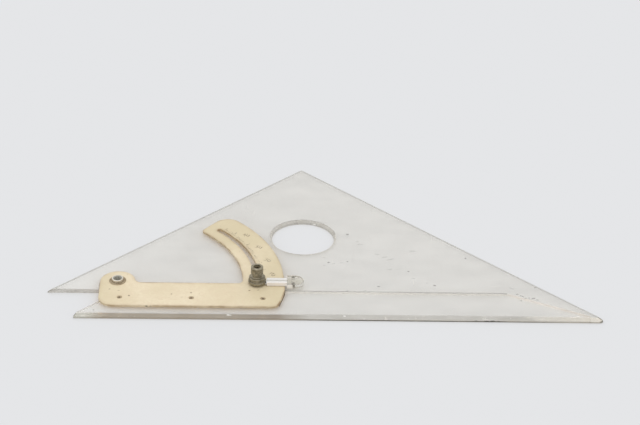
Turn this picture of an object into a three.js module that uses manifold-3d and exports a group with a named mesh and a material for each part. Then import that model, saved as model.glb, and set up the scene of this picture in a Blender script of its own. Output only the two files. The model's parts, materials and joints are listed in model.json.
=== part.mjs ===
import * as THREE from 'three';
import { mergeVertices } from 'three/addons/utils/BufferGeometryUtils.js';
import Module from 'manifold-3d';

// Adjustable set square: a clear 45 degree triangle that swings on a pivot over a base strip.
// Millimetres, +Z up. X runs along the base edge, Y towards the apex, Z out of the sheet.

const wasm = await Module();
wasm.setup();

// Clear sheets
const stripThickness = 3;
const triangleDrop = 0.3;
const edgeLength = 300;
const leftReach = 43.8;
const legAngle = Math.PI / 4;
const stripWidth = 24.4;
const footLength = 11;
const obliqueRun = 48.6;
const obliqueInset = 5.4;
const jointGap = 0.3;
const edgeLand = 1.2;
const bevelAngle = Math.PI / 4;
const leftTipRadius = 0.7;
const rightTipRadius = 2.4;
const apexRadius = 0.8;
const stripTipRadius = 0.25;
const footCornerRadius = 0.3;
const fingerHoleRadius = 20.15;
const fingerHoleChamfer = 1.25;
const fingerHoleRise = 60.3;

// Swing of the triangle
const pivotX = 21.4;
const pivotRise = 7.5;
const swingAngle = THREE.MathUtils.degToRad(45);
const clampAngle = THREE.MathUtils.degToRad(-0.9);

// Scale plate
const plateThickness = 1.2;
const slotRadius = 80;
const innerBand = 8.3;
const outerBand = 15.4;
const plateEndMargin = THREE.MathUtils.degToRad(7.1);
const barTopDrop = 1.3;
const barWidth = 22.5;
const earRadius = 10;
const lowerLeftRadius = 9;
const lowerRightRadius = 4;
const endOuterRadius = 9;
const endInnerRadius = 2.5;
const armpitRadius = 3;
const earFilletRadius = 4;

// Plate rivets, each closed on a burr washer sunk in the underside of the strip
const rivetCount = 3;
const rivetInset = 12.6;
const rivetEndInset = 10.3;
const rivetRise = 7.1;
const rivetHeadRadius = 1.45;
const rivetHeadHeight = 0.5;
const rivetShankRadius = 0.8;
const rivetPeenRadius = 1.35;
const rivetPeenHeight = 0.4;
const burrRadius = 1.9;
const burrThickness = 0.4;
const burrSeatDepth = 1.1;

// Pivot eyelet with its two washers
const eyeletBoreRadius = 2.2;
const eyeletWall = 0.7;
const eyeletRimLip = 0.7;
const eyeletRimHeight = 1.25;
const eyeletRimRound = 0.4;
const eyeletFlangeLip = 1.3;
const eyeletFlangeThickness = 0.3;
const topWasherRadius = 5.1;
const topWasherThickness = 0.5;
const backWasherRadius = 4.6;
const backWasherThickness = 0.4;
const pivotSeatDepth = 1.2;
const flushInset = 0.2;

// Clamp: stud, friction washer, collar, thrust washer and knurled nut
const studRadius = 1.2;
const studHeadRadius = 3.2;
const studHeadThickness = 0.7;
const studTopInset = 3;
const frictionWasherThickness = 0.5;
const collarRadius = 5.15;
const collarHeight = 1.7;
const collarChamfer = 0.25;
const thrustWasherRadius = 4.1;
const thrustWasherThickness = 0.4;
const flangeRadius = 4.75;
const flangeHeight = 1.9;
const flangeChamfer = 0.35;
const neckRadius = 2.7;
const neckHeight = 2.1;
const capRadius = 3.5;
const capHeight = 4.4;
const capChamfer = 0.5;
const capMouthRadius = 2;
const capMouthDepth = 2.2;
const knurlDepth = 0.3;
const flangeKnurlTeeth = 24;
const capKnurlTeeth = 20;

// Index arm, its clear end block and the two pins
const armWidth = 5.8;
const armHeight = 1.8;
const armEdgeRadius = 0.25;
const armOverhang = 1.8;
const grooveWidth = 0.5;
const grooveDepth = 0.35;
const tongueWidth = 4.6;
const tongueHeight = 0.8;
const blockHeight = 2.7;
const blockWidth = 10.3;
const blockShiftY = 1.9;
const blockLength = 9.6;
const blockEdgeRadius = 0.4;
const pinRadius = 0.9;
const pinEdge = 1.85;
const pinInset = 3.6;
const pinDepth = 1.8;

// Clearances, and the amount by which a cutter runs past the material
const fitGap = 0.3;
const overrun = 1;

// Facets per full turn
const smallFacets = 26;
const largeFacets = 96;

// Sizes that follow from the ones above
const triangleThickness = stripThickness - triangleDrop;
const rightCornerX = edgeLength;
const leftCornerX = -leftReach;
const obliqueEndX = edgeLength - obliqueInset;
const obliqueStartX = obliqueEndX - obliqueRun;
const stripTipX = edgeLength - footLength;
const jointY = stripWidth + jointGap;
const apexX = (leftCornerX + rightCornerX) / 2;
const apexY = (rightCornerX - leftCornerX) / 2 * Math.tan(legAngle);
const fingerHoleY = jointY + fingerHoleRise;
const pivotY = jointY + pivotRise;
const slotWidth = (studRadius + fitGap) * 2;
const plateOuterRadius = slotRadius + outerBand;
const plateInnerRadius = slotRadius - innerBand;
const plateEndAngle = clampAngle + swingAngle + plateEndMargin;
const plateLeftX = pivotX - earRadius;
const barTopY = pivotY - barTopDrop;
const barBottomY = barTopY - barWidth;
const rivetY = barBottomY + rivetRise;
const rivetFirstX = plateLeftX + rivetInset;
const barRightX = pivotX + Math.sqrt(plateOuterRadius ** 2 - (pivotY - rivetY) ** 2);
const rivetPitch = (barRightX - rivetEndInset - rivetFirstX) / (rivetCount - 1);
const eyeletShankRadius = eyeletBoreRadius + eyeletWall;
const eyeletRimRadius = eyeletShankRadius + eyeletRimLip;
const eyeletFlangeRadius = eyeletShankRadius + eyeletFlangeLip;
const pivotSeatRadius = backWasherRadius + fitGap;
const armEndX = pivotX + plateOuterRadius + armOverhang;
const pinX = armEndX + pinInset;

// Outline helpers

// Points of an arc about a centre, from one angle to another in either direction
function arc(x, y, radius, from, to, facets = largeFacets) {
  const steps = Math.max(2, Math.ceil(Math.abs(to - from) / (Math.PI * 2) * facets));
  return Array.from({ length: steps + 1 }, (_, i) => {
    const angle = THREE.MathUtils.lerp(from, to, i / steps);
    return new THREE.Vector2(x + radius * Math.cos(angle), y + radius * Math.sin(angle));
  });
}

// A polygon whose corners [x, y, radius] are rounded; a zero radius leaves a corner sharp
function rounded(corners) {
  const points = [];
  corners.forEach(([x, y, radius], i) => {
    const corner = new THREE.Vector2(x, y);
    const before = corners[(i + corners.length - 1) % corners.length];
    const after = corners[(i + 1) % corners.length];
    if (radius === 0) {
      points.push(corner);
      return;
    }
    const back = new THREE.Vector2(before[0], before[1]).sub(corner).normalize();
    const ahead = new THREE.Vector2(after[0], after[1]).sub(corner).normalize();
    const half = Math.acos(back.dot(ahead)) / 2;
    const inward = back.clone().add(ahead).normalize();
    const centre = corner.clone().addScaledVector(inward, radius / Math.sin(half));
    const start = corner.clone().addScaledVector(back, radius / Math.tan(half)).sub(centre);
    const end = corner.clone().addScaledVector(ahead, radius / Math.tan(half)).sub(centre);
    const turn = Math.atan2(start.cross(end), start.dot(end));
    points.push(...arc(centre.x, centre.y, radius, start.angle(), start.angle() + turn, smallFacets));
  });
  return points;
}

// Where the line through a point, along a direction, last meets a circle about the pivot
function meetCircle(point, direction, radius) {
  const toPivot = new THREE.Vector2(pivotX, pivotY).sub(point);
  const along = toPivot.dot(direction);
  const reach = Math.sqrt(radius ** 2 - toPivot.lengthSq() + along ** 2);
  return point.clone().addScaledVector(direction, along + reach);
}

function pivotAngle(point) {
  return Math.atan2(point.y - pivotY, point.x - pivotX);
}

// Solid helpers

// A closed solid from a three.js geometry, with shared corners merged and slivers dropped
function solid(geometry) {
  const bare = geometry.clone();
  bare.deleteAttribute('normal');
  bare.deleteAttribute('uv');
  const merged = mergeVertices(bare);
  const index = Array.from(merged.index.array);
  const kept = [];
  for (let i = 0; i < index.length; i += 3) {
    const [a, b, c] = index.slice(i, i + 3);
    if (a !== b && b !== c && c !== a) kept.push(a, b, c);
  }
  const vertProperties = new Float32Array(merged.attributes.position.array);
  return new wasm.Manifold(new wasm.Mesh({ numProp: 3, vertProperties, triVerts: new Uint32Array(kept) }));
}

// A flat outline with holes, raised from one height to another
function plate(outline, bottom, top, holes = []) {
  const shape = new THREE.Shape(outline);
  shape.holes = holes.map((hole) => new THREE.Path(hole));
  const geometry = new THREE.ExtrudeGeometry(shape, { depth: top - bottom, bevelEnabled: false });
  return solid(geometry.translate(0, 0, bottom));
}

// A turned piece from [radius, height] points, bottom to top, about a vertical axis
function turned(profile, x = 0, y = 0, facets = smallFacets) {
  const points = profile.map(([radius, height]) => new THREE.Vector2(radius, height));
  const geometry = new THREE.LatheGeometry(points, facets).rotateX(Math.PI / 2);
  return solid(geometry.translate(x, y, 0));
}

function rod(radius, bottom, top, x = 0, y = 0, facets = smallFacets) {
  return turned([[0, bottom], [radius, bottom], [radius, top], [0, top]], x, y, facets);
}

function ring(inner, outer, bottom, top, x, y) {
  return turned([[inner, bottom], [outer, bottom], [outer, top], [inner, top], [inner, bottom]], x, y);
}

// A section in (across, up) run along the level direction that is square to its outward side
function runAlong(section, length, origin, outward) {
  const up = new THREE.Vector3(0, 0, 1);
  const along = new THREE.Vector3().crossVectors(outward, up);
  const shape = new THREE.Shape(section);
  const geometry = new THREE.ExtrudeGeometry(shape, { depth: length, bevelEnabled: false });
  geometry.applyMatrix4(new THREE.Matrix4().makeBasis(outward, up, along).setPosition(origin));
  return solid(geometry);
}

// The wedge that bevels one drawing edge, from its corner at the start of the run
function bevelCutter(length, x, y, outward) {
  const top = stripThickness + overrun;
  const run = (top - edgeLand) / Math.tan(bevelAngle);
  const section = [[0, edgeLand], [overrun, edgeLand], [overrun, top], [-run, top]];
  const points = section.map(([across, height]) => new THREE.Vector2(across, height));
  return runAlong(points, length, new THREE.Vector3(x, y, 0), outward);
}

function knurled(radius, teeth, bottom, top, x, y) {
  const outline = Array.from({ length: teeth * 2 }, (_, i) => {
    const reach = i % 2 ? radius : radius - knurlDepth;
    const angle = i / teeth * Math.PI;
    return new THREE.Vector2(x + reach * Math.cos(angle), y + reach * Math.sin(angle));
  });
  return plate(outline, bottom, top);
}

// Shared places
const plateBottom = stripThickness;
const plateTop = plateBottom + plateThickness;
const clampX = pivotX + slotRadius * Math.cos(clampAngle);
const clampY = pivotY + slotRadius * Math.sin(clampAngle);
const obliqueAngle = Math.atan2(stripWidth, obliqueEndX - obliqueStartX);
const legRun = (apexX - leftCornerX) / Math.cos(legAngle);
const downY = new THREE.Vector3(0, -1, 0);
const leftOut = new THREE.Vector3(-Math.sin(legAngle), Math.cos(legAngle), 0);
const rightOut = new THREE.Vector3(Math.sin(legAngle), Math.cos(legAngle), 0);

// The end of the strip that the triangle's lower edge comes to rest on when it is fully open
const stopReach = pivotY - jointY + jointGap;
const stopX = pivotX + stopReach * Math.sin(swingAngle);
const stopY = pivotY - stopReach * Math.cos(swingAngle);
const stopAt = (y) => stopX + (y - stopY) / Math.tan(swingAngle);

const rivetXs = Array.from({ length: rivetCount }, (_, i) => rivetFirstX + i * rivetPitch);

// Base strip
function makeStrip() {
  const tipY = (obliqueEndX - stripTipX) * Math.tan(obliqueAngle);
  let strip = plate(rounded([
    [stopAt(0), 0, stripTipRadius],
    [stripTipX, 0, 0],
    [stripTipX, tipY, 0],
    [obliqueStartX, stripWidth, 0],
    [stopAt(stripWidth), stripWidth, 0],
  ]), 0, stripThickness);
  strip = strip.subtract(bevelCutter(rightCornerX + overrun, rightCornerX, 0, downY));
  for (const x of rivetXs) {
    strip = strip.subtract(rod(rivetShankRadius + fitGap, -overrun, stripThickness + overrun, x, rivetY));
    strip = strip.subtract(rod(burrRadius + fitGap, -overrun, burrSeatDepth, x, rivetY));
  }
  return strip;
}

// Triangle
function makeTriangle() {
  const obliqueAt = (x) => stripWidth - (x - obliqueStartX) * Math.tan(obliqueAngle)
    + jointGap / Math.cos(obliqueAngle);
  const footX = stripTipX + jointGap;
  const bendX = obliqueStartX + jointGap * Math.tan(obliqueAngle / 2);
  const leftX = leftCornerX + jointY / Math.tan(legAngle);
  let triangle = plate(rounded([
    [leftX, jointY, leftTipRadius],
    [bendX, jointY, 0],
    [footX, obliqueAt(footX), 0],
    [footX, 0, footCornerRadius],
    [rightCornerX, 0, rightTipRadius],
    [apexX, apexY, apexRadius],
  ]), 0, triangleThickness);
  triangle = triangle
    .subtract(bevelCutter(legRun + overrun, leftCornerX, 0, leftOut))
    .subtract(bevelCutter(legRun + overrun, apexX, apexY, rightOut))
    .subtract(bevelCutter(rightCornerX - stripTipX, rightCornerX, 0, downY));
  const wall = fingerHoleRadius - fingerHoleChamfer;
  const mouth = fingerHoleRadius + overrun;
  triangle = triangle.subtract(turned([
    [0, -overrun],
    [wall, -overrun],
    [wall, triangleThickness - fingerHoleChamfer],
    [mouth, triangleThickness + overrun],
    [0, triangleThickness + overrun],
  ], apexX, fingerHoleY, largeFacets));
  const through = triangleThickness + overrun;
  triangle = triangle
    .subtract(rod(eyeletShankRadius + fitGap, -overrun, through, pivotX, pivotY))
    .subtract(rod(pivotSeatRadius, -overrun, pivotSeatDepth, pivotX, pivotY))
    .subtract(rod(studRadius + fitGap, -overrun, through, clampX, clampY))
    .subtract(rod(studHeadRadius + fitGap, -overrun, flushInset + studHeadThickness, clampX, clampY));
  for (const y of pinYs) {
    triangle = triangle.subtract(rod(pinRadius + fitGap, triangleThickness - pinDepth, through, pinX, y));
  }
  return triangle;
}

// Scale plate: a bar, a round ear over the pivot and a sector with the clamp's arc slot
function makeScalePlate() {
  const right = new THREE.Vector2(1, 0);
  const end = new THREE.Vector2(Math.cos(plateEndAngle), Math.sin(plateEndAngle));
  const inset = (radius) => new THREE.Vector2(pivotX, pivotY)
    .add(new THREE.Vector2(end.y, -end.x).multiplyScalar(radius));
  const level = (y) => new THREE.Vector2(pivotX, y);

  const lowerRightY = barBottomY + lowerRightRadius;
  const lowerRight = meetCircle(level(lowerRightY), right, plateOuterRadius - lowerRightRadius);
  const endOuter = meetCircle(inset(endOuterRadius), end, plateOuterRadius - endOuterRadius);
  const endInner = meetCircle(inset(endInnerRadius), end, plateInnerRadius + endInnerRadius);
  const armpit = meetCircle(level(barTopY + armpitRadius), right, plateInnerRadius - armpitRadius);
  const earFillet = meetCircle(level(barTopY + earFilletRadius), right, earRadius + earFilletRadius);
  const quarter = Math.PI / 2;
  const cornerX = plateLeftX + lowerLeftRadius;
  const cornerY = barBottomY + lowerLeftRadius;
  const outline = [
    ...arc(cornerX, cornerY, lowerLeftRadius, -Math.PI, -quarter, smallFacets),
    ...arc(lowerRight.x, lowerRight.y, lowerRightRadius, -quarter, pivotAngle(lowerRight), smallFacets),
    ...arc(pivotX, pivotY, plateOuterRadius, pivotAngle(lowerRight), pivotAngle(endOuter)).slice(1, -1),
    ...arc(endOuter.x, endOuter.y, endOuterRadius, pivotAngle(endOuter),
      plateEndAngle + quarter, smallFacets),
    ...arc(endInner.x, endInner.y, endInnerRadius, plateEndAngle + quarter,
      pivotAngle(endInner) + Math.PI, smallFacets),
    ...arc(pivotX, pivotY, plateInnerRadius, pivotAngle(endInner), pivotAngle(armpit)).slice(1, -1),
    ...arc(armpit.x, armpit.y, armpitRadius, pivotAngle(armpit), -quarter, smallFacets),
    ...arc(earFillet.x, earFillet.y, earFilletRadius, -quarter,
      pivotAngle(earFillet) - Math.PI, smallFacets),
    ...arc(pivotX, pivotY, earRadius, pivotAngle(earFillet), Math.PI, smallFacets).slice(1),
  ];
  const slotEnd = clampAngle + swingAngle;
  const half = slotWidth / 2;
  const slotCap = (angle, from) => {
    const x = pivotX + slotRadius * Math.cos(angle);
    const y = pivotY + slotRadius * Math.sin(angle);
    return arc(x, y, half, from, from + Math.PI, smallFacets).slice(1, -1);
  };
  const slot = [
    ...arc(pivotX, pivotY, slotRadius + half, clampAngle, slotEnd),
    ...slotCap(slotEnd, slotEnd),
    ...arc(pivotX, pivotY, slotRadius - half, slotEnd, clampAngle),
    ...slotCap(clampAngle, clampAngle + Math.PI),
  ];
  let scalePlate = plate(outline, plateBottom, plateTop, [slot]);
  const top = plateTop + overrun;
  const below = plateBottom - overrun;
  scalePlate = scalePlate.subtract(rod(eyeletShankRadius + fitGap, below, top, pivotX, pivotY));
  for (const x of rivetXs) {
    scalePlate = scalePlate
      .subtract(rod(rivetShankRadius + fitGap, below, top, x, rivetY))
      .subtract(rod(rivetHeadRadius + fitGap, plateTop - rivetHeadHeight, top, x, rivetY));
  }
  return scalePlate;
}

function makeRivet(x) {
  const peenTop = burrSeatDepth - burrThickness;
  return turned([
    [0, peenTop - rivetPeenHeight],
    [rivetPeenRadius, peenTop - rivetPeenHeight],
    [rivetPeenRadius, peenTop],
    [rivetShankRadius, peenTop],
    [rivetShankRadius, plateTop - rivetHeadHeight],
    [rivetHeadRadius, plateTop - rivetHeadHeight],
    [rivetHeadRadius, plateTop],
    [0, plateTop],
  ], x, rivetY);
}

// The eyelet is a tube with a flat flange below and a rolled rim on the top washer
const rimBottom = plateTop + topWasherThickness;
const rimTop = rimBottom + eyeletRimHeight;

function makeEyelet() {
  return turned([
    [eyeletBoreRadius, flushInset],
    [eyeletFlangeRadius, flushInset],
    [eyeletFlangeRadius, flushInset + eyeletFlangeThickness],
    [eyeletShankRadius, flushInset + eyeletFlangeThickness],
    [eyeletShankRadius, rimBottom],
    [eyeletRimRadius, rimBottom],
    [eyeletRimRadius, rimTop - eyeletRimRound],
    [eyeletRimRadius - eyeletRimRound, rimTop],
    [eyeletBoreRadius + eyeletRimRound, rimTop],
    [eyeletBoreRadius, rimTop - eyeletRimRound],
    [eyeletBoreRadius, flushInset],
  ], pivotX, pivotY);
}

// Heights of the clamp stack, from the plate upwards
const stackBottom = plateTop + fitGap;
const tongueBottom = stackBottom + frictionWasherThickness;
const collarTop = tongueBottom + collarHeight;
const nutBottom = collarTop + fitGap + thrustWasherThickness;
const flangeTop = nutBottom + flangeHeight;
const capBottom = flangeTop + neckHeight;
const capTop = capBottom + capHeight;
const headTop = flushInset + studHeadThickness;
const blockTop = triangleThickness + blockHeight;
const blockY = clampY + blockShiftY;
const pinReach = blockWidth / 2 - pinEdge;
const pinYs = [blockY + pinReach, blockY - pinReach];

function makeStud() {
  return turned([
    [0, flushInset],
    [studHeadRadius, flushInset],
    [studHeadRadius, headTop],
    [studRadius, headTop],
    [studRadius, capTop - studTopInset],
    [0, capTop - studTopInset],
  ], clampX, clampY);
}

// The collar's underside is grooved for the arm's tongue
function makeCollar() {
  const body = turned([
    [0, tongueBottom],
    [collarRadius, tongueBottom],
    [collarRadius, collarTop - collarChamfer],
    [collarRadius - collarChamfer, collarTop],
    [0, collarTop],
  ], clampX, clampY);
  const half = tongueWidth / 2 + fitGap;
  const grooveTop = tongueBottom + tongueHeight + fitGap;
  const groove = plate([
    new THREE.Vector2(clampX, clampY - half),
    new THREE.Vector2(clampX + collarRadius + overrun, clampY - half),
    new THREE.Vector2(clampX + collarRadius + overrun, clampY + half),
    new THREE.Vector2(clampX, clampY + half),
  ], tongueBottom - overrun, grooveTop);
  return body
    .subtract(groove)
    .subtract(rod(half, tongueBottom - overrun, grooveTop, clampX, clampY))
    .subtract(rod(studRadius + fitGap, tongueBottom - overrun, collarTop + overrun, clampX, clampY));
}

// The arm is a grooved bar with a thin tongue that ends in an eye round the stud
function makeArm() {
  const half = armWidth / 2;
  const top = stackBottom + armHeight;
  const barStart = clampX + collarRadius + fitGap;
  const section = rounded([
    [-half, stackBottom, 0],
    [half, stackBottom, 0],
    [half, top, armEdgeRadius],
    [grooveWidth / 2, top, 0],
    [0, top - grooveDepth, 0],
    [-grooveWidth / 2, top, 0],
    [-half, top, armEdgeRadius],
  ]);
  const bar = runAlong(section, armEndX - barStart, new THREE.Vector3(barStart, clampY, 0),
    new THREE.Vector3(0, 1, 0));
  const reach = tongueWidth / 2;
  const tongueTop = tongueBottom + tongueHeight;
  const tongue = plate([
    new THREE.Vector2(clampX, clampY - reach),
    new THREE.Vector2(barStart + fitGap, clampY - reach),
    new THREE.Vector2(barStart + fitGap, clampY + reach),
    new THREE.Vector2(clampX, clampY + reach),
  ], tongueBottom, tongueTop);
  return bar
    .add(tongue)
    .add(rod(reach, tongueBottom, tongueTop, clampX, clampY))
    .subtract(rod(studRadius + fitGap, tongueBottom - overrun, tongueTop + overrun, clampX, clampY));
}

// The clear block that carries the end of the arm has a flat end and a round end
function makeBlock() {
  const radius = blockWidth / 2;
  const quarter = Math.PI / 2;
  const centreX = armEndX + blockLength - radius;
  const start = [new THREE.Vector2(armEndX, blockY + radius), new THREE.Vector2(armEndX, blockY - radius)];
  const outline = [...start, ...arc(centreX, blockY, radius, -quarter, quarter, smallFacets)];
  const crown = turned([
    [0, triangleThickness],
    [radius, triangleThickness],
    [radius, blockTop - blockEdgeRadius],
    [radius - blockEdgeRadius, blockTop],
    [0, blockTop],
  ], centreX, blockY, smallFacets);
  const straight = plate([
    new THREE.Vector2(armEndX, blockY - radius),
    new THREE.Vector2(centreX, blockY - radius),
    new THREE.Vector2(centreX, blockY + radius),
    new THREE.Vector2(armEndX, blockY + radius),
  ], triangleThickness, blockTop);
  let block = plate(outline, triangleThickness, blockTop).intersect(crown.add(straight));
  const below = triangleThickness - overrun;
  for (const y of pinYs) {
    block = block.subtract(rod(pinRadius + fitGap, below, blockTop + overrun, pinX, y));
  }
  return block;
}

// The nut is turned to its envelope and knurled on the flange and the cap
function makeNut() {
  const envelope = turned([
    [0, nutBottom],
    [flangeRadius - flangeChamfer, nutBottom],
    [flangeRadius, nutBottom + flangeChamfer],
    [flangeRadius, flangeTop - flangeChamfer],
    [flangeRadius - flangeChamfer, flangeTop],
    [neckRadius, flangeTop],
    [neckRadius, capBottom],
    [capRadius - capChamfer, capBottom],
    [capRadius, capBottom + capChamfer],
    [capRadius, capTop - capChamfer],
    [capRadius - capChamfer, capTop],
    [0, capTop],
  ], clampX, clampY);
  const grip = knurled(flangeRadius, flangeKnurlTeeth, nutBottom, flangeTop, clampX, clampY)
    .add(knurled(capRadius, capKnurlTeeth, nutBottom, capTop, clampX, clampY));
  return envelope
    .intersect(grip)
    .subtract(rod(studRadius + fitGap, nutBottom - overrun, capTop + overrun, clampX, clampY))
    .subtract(rod(capMouthRadius, capTop - capMouthDepth, capTop + overrun, clampX, clampY));
}

// Materials
const clear = { color: 0xdad9d2, roughness: 0.08, metalness: 0, transparent: true, opacity: 0.4 };
const cream = { color: 0xe4d2a6, roughness: 0.5, metalness: 0 };
const darkBrass = { color: 0x6b6449, roughness: 0.45, metalness: 0.9 };
const brownBrass = { color: 0x5a4426, roughness: 0.55, metalness: 0.8 };
const nickel = { color: 0xc9c7c2, roughness: 0.2, metalness: 1 };

const setSquare = new THREE.Group();

function addPiece(name, manifold, look) {
  const { vertProperties, triVerts } = manifold.getMesh();
  const geometry = new THREE.BufferGeometry();
  geometry.setAttribute('position', new THREE.BufferAttribute(new Float32Array(vertProperties), 3));
  geometry.setIndex(new THREE.BufferAttribute(new Uint32Array(triVerts), 1));
  const material = new THREE.MeshStandardMaterial({ ...look, flatShading: true });
  const mesh = new THREE.Mesh(geometry, material);
  mesh.name = name;
  setSquare.add(mesh);
}

// Pieces that stay with the strip
addPiece('base_strip', makeStrip(), clear);
addPiece('scale_plate', makeScalePlate(), cream);
rivetXs.forEach((x, i) => {
  addPiece(`plate_rivet_${i + 1}`, makeRivet(x), brownBrass);
  const inner = rivetShankRadius + fitGap;
  const bottom = burrSeatDepth - burrThickness;
  addPiece(`rivet_burr_${i + 1}`, ring(inner, burrRadius, bottom, burrSeatDepth, x, rivetY), brownBrass);
});
addPiece('pivot_eyelet', makeEyelet(), nickel);
addPiece('pivot_top_washer',
  ring(eyeletShankRadius + fitGap, topWasherRadius, plateTop, rimBottom, pivotX, pivotY), brownBrass);
const backBottom = flushInset + eyeletFlangeThickness;
const backTop = backBottom + backWasherThickness;
addPiece('pivot_back_washer',
  ring(eyeletShankRadius + fitGap, backWasherRadius, backBottom, backTop, pivotX, pivotY), brownBrass);

// Pieces that swing with the triangle
addPiece('triangle', makeTriangle(), clear);
addPiece('clamp_stud', makeStud(), darkBrass);
addPiece('clamp_friction_washer',
  ring(studRadius + fitGap, collarRadius, stackBottom, tongueBottom, clampX, clampY), darkBrass);
addPiece('clamp_collar', makeCollar(), darkBrass);
addPiece('index_arm', makeArm(), nickel);
addPiece('arm_block', makeBlock(), clear);
pinYs.forEach((y, i) => {
  addPiece(`block_pin_${i + 1}`, rod(pinRadius, triangleThickness - pinDepth, blockTop, pinX, y), nickel);
});

// Pieces that turn or rise with the clamp nut
addPiece('clamp_thrust_washer',
  ring(studRadius + fitGap, thrustWasherRadius, collarTop + fitGap, nutBottom, clampX, clampY), darkBrass);
addPiece('clamp_nut', makeNut(), darkBrass);

// The origin is under the middle of the whole tool
const box = new THREE.Box3().setFromObject(setSquare);
const middle = box.getCenter(new THREE.Vector3());
setSquare.position.set(-middle.x, -middle.y, -box.min.z);

export default setSquare;
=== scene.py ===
import json
import math
import random

import bmesh
import bpy
from mathutils import Matrix, Vector
from mathutils.geometry import tessellate_polygon


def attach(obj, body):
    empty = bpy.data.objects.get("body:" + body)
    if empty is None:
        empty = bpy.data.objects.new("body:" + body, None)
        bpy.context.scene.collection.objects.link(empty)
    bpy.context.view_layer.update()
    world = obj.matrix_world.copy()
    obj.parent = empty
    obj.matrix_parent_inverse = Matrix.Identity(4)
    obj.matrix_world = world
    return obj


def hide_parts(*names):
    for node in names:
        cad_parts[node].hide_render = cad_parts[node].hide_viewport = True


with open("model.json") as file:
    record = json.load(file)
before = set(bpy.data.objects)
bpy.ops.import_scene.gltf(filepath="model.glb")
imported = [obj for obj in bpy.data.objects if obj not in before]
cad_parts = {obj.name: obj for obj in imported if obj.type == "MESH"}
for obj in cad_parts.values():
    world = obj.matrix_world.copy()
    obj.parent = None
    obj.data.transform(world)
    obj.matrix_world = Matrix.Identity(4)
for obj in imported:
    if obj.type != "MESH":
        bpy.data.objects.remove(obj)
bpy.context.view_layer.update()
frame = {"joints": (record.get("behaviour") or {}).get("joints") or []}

# Millimetres, from the strip's front left bottom corner: x along the base edge, y towards the apex
MM = 0.001
PIVOT = (21.4, 32.2)
hinge = next(joint for joint in frame["joints"] if joint["name"] == "swing_hinge")
CORNER = Vector((hinge["pos_m"][0] / MM - PIVOT[0], hinge["pos_m"][1] / MM - PIVOT[1], 0))


def at(x, y, z):
    """The shared frame's place, in metres, of a point in the part's own millimetres."""
    return (CORNER + Vector((x, y, z))) * MM


def local(place):
    """The part's own millimetres for a place in the shared frame, which is in metres."""
    return place / MM - CORNER


def swung(reach, angle):
    """The point at a distance and a bearing from the pivot."""
    return (PIVOT[0] + reach * math.cos(angle), PIVOT[1] + reach * math.sin(angle))


# Clear sheets: their tops, the ends of the legs, the joint between them and the finger hole
STRIP_TOP, SHEET_TOP = 3.0, 2.7
LEFT_X, RIGHT_X = -43.8, 300.0
STRIP_Y, JOINT_Y, JOINT_FALL, GAP = 25.0, 25.3, 0.8, 0.3
STRIP_TIP_X, CUT_X = 289.0, 28.0
OBLIQUE = (246.0, 294.6)
OBLIQUE_TURN = math.atan2(STRIP_Y - JOINT_FALL, OBLIQUE[1] - OBLIQUE[0])
HOLE_X, HOLE_Y, HOLE_R, HOLE_CHAMFER = (LEFT_X + RIGHT_X) / 2, 85.0, 20.15, 1.25

# Edges of the sheets: the upright land, the rounding, the lip that is painted as a highlight and the height
# up the land that is painted dark as contact shadow
LAND, ARRIS, LIP, DARK_FOOT = 1.2, 0.12, 0.3, 0.7
# The legs have a lower land and a darker line painted as shade inside their bevel, and the right leg stands
# further in
LEG_LAND, LEG_LINE, RIGHT_IN = 0.5, 1.35, 0.5

# Scale plate
PLATE_LOW, PLATE_TOP, PLATE_ARRIS = 3.02, 4.2, 0.18
PLATE_OUT, PLATE_IN, PLATE_END = 95.4, 71.7, math.radians(51.2)
SLOT_R, SLOT_HALF = 80.0, 1.5
BAR_Y = (7.25, 30.9)
EAR_R, LOW_LEFT_R = 10.0, 9.0
EAR_LEFT = PIVOT[0] - EAR_R
UNDER_EAR = EAR_LEFT + 3
RIM_STEPS = (0.4, 0.8, 2.2)
RIVET_XS, RIVET_Y = (24.0, 64.5, 105.0), 15.5

# Clamp, holes for the clamp's stud and for the pivot, arm and block
SWING = math.radians(45)
CLAMP_ANGLE = math.radians(-0.9)
CLAMP = swung(SLOT_R, CLAMP_ANGLE)
STUD_BORE, PIVOT_BORE = 1.5, 3.2
ARM_END_X = 118.6
BLOCK_END_X, BLOCK_R, BLOCK_Y = 128.2, 5.15, CLAMP[1] + 1.9
BLOCK_LOW, BLOCK_TOP = SHEET_TOP + 0.02, 5.4
FROSTED_X = 121.8
PIN_X, PIN_REACH = 122.2, 3.3

# How far ink, marks of use and films of painted shadow lie off their surface
INK_LIFT, FILM = 0.004, 0.012


# Outlines


def arc(x, y, radius, start, end, steps):
    angles = [start + (end - start) * i / steps for i in range(steps + 1)]
    return [(x + radius * math.cos(a), y + radius * math.sin(a)) for a in angles]


def circle(x, y, radius, steps):
    return arc(x, y, radius, 0, math.tau, steps)[:-1]


def rounded(corners, steps):
    """A polygon whose corners (x, y, radius) are rounded, with the same count of points at any size."""
    points = []
    for i, (x, y, radius) in enumerate(corners):
        if radius == 0:
            points.append((x, y))
            continue
        corner = Vector((x, y))
        back = (Vector(corners[i - 1][:2]) - corner).normalized()
        ahead = (Vector(corners[(i + 1) % len(corners)][:2]) - corner).normalized()
        half = back.angle(ahead) / 2
        centre = corner + (back + ahead).normalized() * radius / math.sin(half)
        start = corner + back * radius / math.tan(half) - centre
        end = corner + ahead * radius / math.tan(half) - centre
        first = math.atan2(start.y, start.x)
        turn = math.atan2(start.x * end.y - start.y * end.x, start.dot(end))
        points += arc(centre.x, centre.y, radius, first, first + turn, steps)
    return points


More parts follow.
